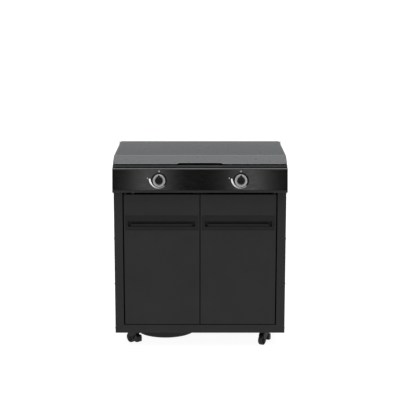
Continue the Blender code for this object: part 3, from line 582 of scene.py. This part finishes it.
def make_lid():
    """The lid as one pressed sheet: rounded chamfers, a soft bend before the nose, and a finger notch."""
    front_y, skirt_z = LID_LOW.y, LID_LOW.z
    corner_clip = 0.006
    bm = bmesh.new()
    rows = []
    for y, top in lid_spine():
        share = min(1.0, max(0.0, (LID_BEND_Y - y) / (LID_BEND_Y - front_y)))
        skirt = skirt_z + (NOSE_SKIRT_Z - skirt_z) * share
        half_width = LID_HIGH.x - (corner_clip if y == front_y else 0.0)
        rows.append([bm.verts.new((x, y, z)) for x, z in lid_section(half_width, top, skirt)])
    for first, second in zip(rows, rows[1:]):
        for index in range(len(first) - 1):
            bm.faces.new((first[index], second[index], second[index + 1], first[index + 1]))
    bm.faces.new(rows[0])
    bm.faces.new(rows[-1])
    bmesh.ops.recalc_face_normals(bm, faces=bm.faces)
    highest = max(bm.faces, key=lambda face: face.calc_center_median().z)
    if highest.normal.z < 0:
        bmesh.ops.reverse_faces(bm, faces=bm.faces)
    lid = make_piece("lid", bm, "lid_paint", "lid")
    solidify = lid.modifiers.new("Thickness", "SOLIDIFY")
    solidify.thickness = LID_SHEET
    solidify.offset = -1
    solidify.use_even_offset = True
    cut(lid, notch_outline(skirt_z - 0.01), facing((0, -1, 0), (0, front_y, 0)), 0.02)
    pin_hole = circle(0.0033, 24)
    cut(lid, pin_hole, facing((1, 0, 0), LID_PIN), 0.45)
    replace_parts(lid, "lid_shell")
    make_lid_hem()


def notch_outline(foot_z):
    """The finger notch in the lid's front edge: a wide slot with clipped upper corners."""
    shoulder, foot, shoulder_z = NOTCH_HALF_WIDTH + 0.0045, NOTCH_HALF_WIDTH + 0.0075, NOTCH_TOP_Z - 0.003
    left = [(-foot, foot_z), (-shoulder, shoulder_z), (-NOTCH_HALF_WIDTH, NOTCH_TOP_Z)]
    corner = 0.002
    return rounded(left + [(-x, z) for x, z in reversed(left)], [0, *[corner] * 4, 0])


def make_lid_hem():
    """The rolled bead along the lid's front edge and over its notch, in a much lighter copy of the lid paint that
    paints a highlight along it.
    """
    end, notch_foot, corner = LID_HIGH.x - 0.010, NOTCH_HALF_WIDTH + 0.006, 0.003
    left = [(-end, NOSE_SKIRT_Z), (-notch_foot, NOSE_SKIRT_Z), (-NOTCH_HALF_WIDTH, NOTCH_TOP_Z)]
    edge = rounded(left + [(-x, z) for x, z in reversed(left)], [0, *[corner] * 4, 0], 4, closed=False)
    bm = bmesh.new()
    add_tube(bm, [on_lid_front(x, z + 0.0010) for x, z in edge], HEM_RADIUS, 8)
    hem = make_piece("lid_front_hem", bm, "lid_paint", "lid")
    # The bead wears the lighter copy of the lid paint, a painted highlight along the edge.
    hem.data.materials[0] = HEM_PAINTED_HIGHLIGHT


def on_lid_front(x, z):
    """The point of the lid's front edge or slope at a height."""
    slope = (LID_BEND_Y - LID_LOW.y) / (SLOPE_TOP_Z - NOSE_Z)
    return Vector((x, LID_LOW.y + max(0.0, z - NOSE_Z) * slope, z))


def add_tube(bm, path, radius, sides):
    """Adds a round bead along a path that keeps clear of straight up and down."""
    rings = []
    for index, point in enumerate(path):
        ahead = (path[min(index + 1, len(path) - 1)] - path[max(index - 1, 0)]).normalized()
        place = facing(ahead, point, up=(0, 1, 0))
        rings.append([bm.verts.new(place @ Vector((x, y, 0))) for x, y in circle(radius, sides)])
    faces = [bm.faces.new(rings[0]), bm.faces.new(rings[-1])]
    for low, high in zip(rings, rings[1:]):
        for side in range(sides):
            after = (side + 1) % sides
            faces.append(bm.faces.new((low[side], low[after], high[after], high[side])))
    bmesh.ops.recalc_face_normals(bm, faces=faces)


def cut(piece, outline, place, reach):
    """Cuts an outline out of a piece, that far each way from the outline's frame."""
    bm = bmesh.new()
    add_prism(bm, outline, -reach, reach, place)
    mesh = bpy.data.meshes.new("cutter")
    bm.to_mesh(mesh)
    bm.free()
    cutter = bpy.data.objects.new("cutter", mesh)
    bpy.context.scene.collection.objects.link(cutter)
    boolean = piece.modifiers.new("Cut", "BOOLEAN")
    boolean.operation = "DIFFERENCE"
    boolean.solver = "MANIFOLD"
    boolean.object = cutter
    apply_modifiers(piece)
    bpy.data.objects.remove(cutter)


def apply_modifiers(piece):
    """Replaces a piece's mesh with what its modifiers make of it."""
    bpy.context.view_layer.update()
    graph = bpy.context.evaluated_depsgraph_get()
    made = bpy.data.meshes.new_from_object(piece.evaluated_get(graph))
    piece.modifiers.clear()
    piece.data = made


# ---- Knobs and panel marks ----
KNOB_FOOT = 0.0037
KNOB_FACE = 0.0245
KNOB_RADIUS = 0.018
RING_INNER = 0.0184
RING_OUTER = 0.0288
RING_TOP = 0.010
PRINT_HEIGHT = 0.00045
SWEEP_ANGLES = (168, 318)
SWEEP_STEPS = 60


def knob_frame(name):
    """A knob's frame on the panel's face, with Y up the panel's slant."""
    joint = JOINTS[f"{name}_knob_turn"]
    return facing(joint["axis"], joint["pos_m"])


def make_dial_ring(name):
    """The round-shouldered ring that stands round a knob's grip and turns with it."""
    ring = [(RING_INNER, KNOB_FOOT), (RING_OUTER, KNOB_FOOT), (RING_OUTER, RING_TOP), (RING_INNER, RING_TOP)]
    ring = rounded(ring, [0.0004, 0.0006, 0.0018, 0.0008], 6)
    bm = bmesh.new()
    add_turned(bm, ring, 128, knob_frame(name))
    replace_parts(make_piece(f"dial_ring_{name}", bm, "satin_chrome", f"{name}_knob"), f"knob_ring_{name}")


def make_grip(name):
    """A knob's grip: a turned body with a shallow dish in its face, and a pointer over the ring."""
    grip = [
        (0.0, KNOB_FOOT),
        (KNOB_RADIUS, KNOB_FOOT),
        (KNOB_RADIUS, KNOB_FACE),
        (KNOB_RADIUS - 0.0022, KNOB_FACE),
        (KNOB_RADIUS - 0.0036, KNOB_FACE - 0.0008),
        (0.0, KNOB_FACE - 0.0010),
    ]
    grip = rounded(grip, [0, 0.0004, 0.0014, 0.0008, 0.0008, 0], 5, closed=False)
    bm = bmesh.new()
    add_turned(bm, grip, 96, knob_frame(name))
    root, tip, root_half, tip_half = 0.0120, 0.0278, 0.0100, 0.0012
    pointer = [(-root_half, root), (root_half, root), (tip_half, tip), (-tip_half, tip)]
    pointer = rounded(pointer, [0, 0, tip_half, tip_half], 5)
    add_prism(bm, pointer, RING_TOP + 0.0004, KNOB_FACE - 0.0012, knob_frame(name))
    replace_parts(make_piece(f"grip_{name}", bm, "knob_plastic", f"{name}_knob"), f"knob_grip_{name}")


def sweep_outer(share):
    """The sweep's outer radius, which closes in on the knob along the arc."""
    return 0.0376 + 0.0107 * (1 - share)**3 - 0.0014 * share


def sweep_inner(share):
    """The sweep's inner radius, which ends just outside the knob's ring."""
    return sweep_outer(share) - 0.0080 + 0.0030 * share


def sweep_outline():
    """The printed sweep's outline: out along its outer radius and back along its inner one."""
    start, end = SWEEP_ANGLES
    shares = [step / SWEEP_STEPS for step in range(SWEEP_STEPS + 1)]
    angles = [math.radians(start + (end - start) * share) for share in shares]
    far = [(sweep_outer(s) * math.cos(a), sweep_outer(s) * math.sin(a)) for s, a in zip(shares, angles)]
    near = [(sweep_inner(s) * math.cos(a), sweep_inner(s) * math.sin(a)) for s, a in zip(shares, angles)]
    return far + near[::-1]


def make_knob_shade_disc(name):
    """The thin dark disc on the panel behind a knob's ring, which reaches out past the ring as painted shade for
    the knob's shadow on the panel.
    """
    inner, outer, thickness = 0.0088, 0.0375, 0.0003
    disc = [(inner, 0), (outer, 0), (outer, thickness), (inner, thickness)]
    bm = bmesh.new()
    add_turned(bm, rounded(disc, 0.0001, 2), 96, knob_frame(name))
    # The dark disc is painted shade: it stands for the knob's shadow round its ring.
    make_piece(f"knob_shade_disc_{name}", bm, "knob_plastic", "cabinet")


def make_panel_marks(name):
    """The printed marks round a knob: a high-to-low sweep, an off dot above and a small drop at the left."""
    place = knob_frame(name)
    bm = bmesh.new()
    add_prism(bm, sweep_outline(), 0, PRINT_HEIGHT)
    sweep = make_piece(f"panel_sweep_{name}", bm, "satin_chrome", "cabinet", place=place)
    sweep.data.materials[0] = PRINT
    off_dot = circle(0.0037, 24, (0, 0.0440))
    drop = [(-0.0545, 0.0165), (-0.0580, 0.0110), (-0.0545, 0.0078), (-0.0510, 0.0110)]
    bm = bmesh.new()
    add_prism(bm, off_dot, 0, PRINT_HEIGHT)
    add_prism(bm, rounded(drop, 0.0012), 0, PRINT_HEIGHT)
    make_piece(f"panel_icons_{name}", bm, "satin_chrome", "cabinet", place=place)


# ---- Casters ----
WHEEL_RADIUS = 0.025
WHEEL_HALF_WIDTH = 0.010
WHEEL_TRAIL = 0.027
SWIVEL_RACE_Z = 0.0726


def caster_frame(name):
    """A caster's swivel axis at the floor, with X towards its wheel."""
    swivel = Vector(JOINTS[f"caster_swivel_{name}"]["pos_m"])
    wheel = Vector(JOINTS[f"wheel_roll_{name}"]["pos_m"])
    swivel.z = 0
    wheel.z = 0
    up = Vector((0, 0, 1))
    x = (wheel - swivel).normalized()
    turn = Matrix((x, up.cross(x), up)).transposed().to_4x4()
    return Matrix.Translation(swivel) @ turn


def wheel_profile():
    """A wheel's (radius, height) outline: bore, hub, dished web, and a tread with a parting line."""
    bore, hub, web_inner, web_outer, tread_inner = 0.0037, 0.0085, 0.0098, 0.0166, 0.0180
    web_half, parting_half, parting_depth = 0.0065, 0.0004, 0.0003
    side = [
        (bore, WHEEL_HALF_WIDTH),
        (hub, WHEEL_HALF_WIDTH),
        (web_inner, web_half),
        (web_outer, web_half),
        (tread_inner, WHEEL_HALF_WIDTH),
        (WHEEL_RADIUS, WHEEL_HALF_WIDTH),
        (WHEEL_RADIUS, 0),
    ]
    near = rounded(side, [0, 0.0006, 0.0010, 0.0010, 0.0006, 0.0022, 0], 4, closed=False)[:-1]
    near += [(WHEEL_RADIUS, parting_half), (WHEEL_RADIUS - parting_depth, 0)]
    return near + [(radius, -height) for radius, height in reversed(near[:-1])]


def make_wheel(name):
    """A turned wheel with six ribs on each side of its web."""
    joint = JOINTS[f"wheel_roll_{name}"]
    place = facing(joint["axis"], joint["pos_m"])
    ribs, rib_low, rib_high = 6, 0.0060, 0.0088
    rib_outline = box_outline((0.0088, 0.0176), (-0.0006, 0.0006))
    bm = bmesh.new()
    add_turned(bm, wheel_profile(), 96, place)
    for rib in range(ribs):
        spoke = place @ Matrix.Rotation(math.tau * rib / ribs, 4, "Z")
        for way in (-1, 1):
            low, high = sorted((way * rib_low, way * rib_high))
            add_prism(bm, rib_outline, low, high, spoke)
    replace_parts(make_piece(f"wheel_{name}", bm, "wheel_rubber", f"wheel_{name}"), f"caster_wheel_{name}")


def make_axle_rivets(name):
    """The domed heads at both ends of a caster's axle."""
    axle = caster_frame(name) @ Matrix.Translation((WHEEL_TRAIL, 0, WHEEL_RADIUS))
    turn = axle.to_3x3()
    reach, height = 0.014, 0.0028
    head = [(0, height), (0.0052, height), (0.0058, 0), (0, 0)]
    head = rounded(head, [0, 0.0010, 0, 0], 4, closed=False)
    bm = bmesh.new()
    for way in (-1, 1):
        outward = turn @ Vector((0, way, 0))
        add_turned(bm, head, 24, facing(outward, axle.translation + turn @ Vector((0, way * reach, 0))))
    make_piece(f"axle_rivets_{name}", bm, "matte_black_paint", f"caster_{name}")


def make_caster_screws(name):
    """The four screws that hold a caster's plate up to the cabinet's floor."""
    low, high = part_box(f"caster_plate_{name}")
    inset, plate = 0.006, 0.0025
    places = [
        facing((0, 0, -1), (x, y, high.z - plate), up=(0, 1, 0))
        for x in (low.x + inset, high.x - inset)
        for y in (low.y + inset, high.y - inset)
    ]
    make_screws(f"caster_screws_{name}", places, "cabinet", radius=0.0036)


def make_race_shell(name):
    """The pressed ring round a caster's swivel bearing."""
    inner, outer, height = 0.0172, 0.0200, 0.0042
    race = rounded([(inner, 0), (outer, 0), (outer, height), (inner, height)], 0.0008, 3)
    x, y = JOINTS[f"caster_swivel_{name}"]["pos_m"][:2]
    bm = bmesh.new()
    add_turned(bm, race, 48, Matrix.Translation((x, y, SWIVEL_RACE_Z)))
    make_piece(f"race_shell_{name}", bm, "zinc_steel", "cabinet")


# ---- Sheet-metal details ----
LOUVER_COLUMNS = (-0.27, -0.19, -0.11, 0.11, 0.19, 0.27)
LOUVER_ROWS = (0.150, 0.170, 0.705, 0.725)


def make_louvers():
    """Pressed hoods over the back panel's vent slots, open downward."""
    half_length, lip_pull = 0.034, 0.00768
    back_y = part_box("back_panel")[1].y
    # Each point across a hood: its depth, its height over the slot, and how far each end is pulled in there.
    hood = [(0, 0.0075, 0), (0.0040, 0.0062, 0), (0.0062, 0.0020, 0), (0.0064, -0.0048, lip_pull)]
    lip_height = hood[-1][1]
    bm = bmesh.new()
    for x in LOUVER_COLUMNS:
        for z in LOUVER_ROWS:
            rows = []
            for way in (-1, 1):
                row = [
                    bm.verts.new((x + way * (half_length - pull), back_y + depth, z + height))
                    for depth, height, pull in hood
                ]
                rows.append(row)
                foot = bm.verts.new((x + way * half_length, back_y, z + lip_height))
                bm.faces.new([*row, foot])
            for index in range(len(hood) - 1):
                bm.faces.new((rows[0][index], rows[0][index + 1], rows[1][index + 1], rows[1][index]))
    bmesh.ops.recalc_face_normals(bm, faces=bm.faces)
    louvers = make_piece("back_louvers", bm, "matte_black_paint", "cabinet")
    sheet = louvers.modifiers.new("Thickness", "SOLIDIFY")
    sheet.thickness = 0.0010
    sheet.offset = -1
    add_bevel(louvers, 0.0004)


def make_side_screws(name, side):
    """The screws in one side: side panel, body end and lid bracket."""
    panel_low, panel_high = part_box(f"{name}_side_panel")
    body_low, body_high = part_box(f"body_side_{name}")
    bracket_low, bracket_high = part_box(f"lid_hinge_bracket_{name}")
    panel_x = side * max(abs(panel_low.x), abs(panel_high.x))
    body_x = side * max(abs(body_low.x), abs(body_high.x))
    bracket_x = side * 0.4113
    panel_ys = (panel_low.y + 0.007, panel_high.y - 0.007)
    bracket_ys = (bracket_low.y + 0.008, bracket_high.y - 0.008)
    spots = [(panel_x, y, z) for y in panel_ys for z in (0.10, 0.32, 0.54, 0.76)]
    spots += [(body_x, y, 0.790) for y in (-0.245, -0.08, 0.09, 0.255)]
    spots += [(bracket_x, y, bracket_low.z + 0.008) for y in bracket_ys]
    places = [facing((side, 0, 0), spot) for spot in spots]
    make_screws(f"side_screws_{name}", places, "cabinet", "matte_black_paint", 0.0034)


def make_rear_screws():
    """The screws in the back panel and in the rear of the cooking body."""
    panel_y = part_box("back_panel")[1].y
    body_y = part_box("body_rear")[1].y
    spots = [(x, panel_y, z) for x in (-0.395, -0.02, 0.02, 0.395) for z in (0.090, 0.30, 0.52)]
    spots += [(x, body_y, 0.870) for x in (-0.39, -0.2, 0, 0.2, 0.39)]
    places = [facing((0, 1, 0), spot) for spot in spots]
    make_screws("rear_screws", places, "cabinet", "matte_black_paint", 0.0034)


# ---- Under the lid ----
def make_lid_bumpers():
    """Rubber stops on the rim's shelf, which the lid comes down on."""
    shelf_z, height = 0.8804, 0.020
    profile = [(0.0, 0.0), (0.0070, 0.0), (0.0055, height - 0.001), (0.0, height)]
    profile = rounded(profile, [0, 0.0006, 0.0015, 0], 4, closed=False)
    bm = bmesh.new()
    for x in (-0.394, 0.394):
        for y in (-0.244, 0.200):
            add_turned(bm, profile, 24, Matrix.Translation((x, y, shelf_z)))
    make_piece("lid_bumpers", bm, "wheel_rubber", "cabinet")


def make_lid_stiffener(name, y):
    """A shallow channel across the underside of the lid's top, which keeps it flat."""
    half_length, depth, sheet = 0.36, 0.009, 0.0012
    flange, rise, web = 0.030, 0.018, 0.013
    channel = [(-flange, 0), (-rise, 0), (-web, -depth), (web, -depth), (rise, 0), (flange, 0)]
    channel += [(across, height - sheet) for across, height in reversed(channel)]
    along_x = Matrix(((0, 0, 1, 0), (1, 0, 0, 0), (0, 1, 0, 0), (0, 0, 0, 1)))
    place = Matrix.Translation((0, y, LID_HIGH.z - 0.0022)) @ along_x
    bm = bmesh.new()
    add_prism(bm, channel, -half_length, half_length, place)
    make_piece(f"lid_stiffener_{name}", bm, "lid_paint", "lid", 0.0004)


def make_burner_port_shades(name, side):
    """The gas ports along both sides of each leg of a burner, as painted shade: thin dark discs where the holes
    would show dark.
    """
    low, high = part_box(f"burner_{name}")
    centre_x, leg_x, leg_z, pipe_radius = side * 0.191, 0.085, 0.812, 0.010
    first_port, pitch, most_ports, end_margin = 0.14, 0.012, 26, 0.008
    port = circle(0.0011, 8)
    bm = bmesh.new()
    for leg in (-1, 1):
        for way in (-1, 1):
            angle = math.radians(38) * way
            normal = Vector((math.sin(angle), 0, math.cos(angle)))
            for step in range(most_ports):
                point = Vector((centre_x + leg * leg_x, low.y + first_port + pitch * step, leg_z))
                if point.y < high.y - end_margin:
                    place = facing(normal, point + normal * (pipe_radius - 0.0002), up=(0, 1, 0))
                    # Each port is a dark disc on the pipe: painted shade for the hole.
                    add_prism(bm, port, 0, 0.0004, place)
    make_piece(f"burner_port_shades_{name}", bm, "matte_black_paint", "cabinet")


# ---- Everything ----
make_camera()
make_floor()
make_sky()
make_lights()
finish_nodes()
make_lid()
make_louvers()
for side_name, side_way in SIDES.items():
    make_side_screws(side_name, side_way)
make_rear_screws()
make_lid_bumpers()
make_lid_stiffener("front", -0.10)
make_lid_stiffener("rear", 0.16)
for side_name, side_way in SIDES.items():
    make_burner_port_shades(side_name, side_way)
for side_name in SIDES:
    make_dial_ring(side_name)
    make_grip(side_name)
    make_knob_shade_disc(side_name)
    make_panel_marks(side_name)
for caster_name in CASTERS:
    make_wheel(caster_name)
    make_axle_rivets(caster_name)
    make_caster_screws(caster_name)
    make_race_shell(caster_name)
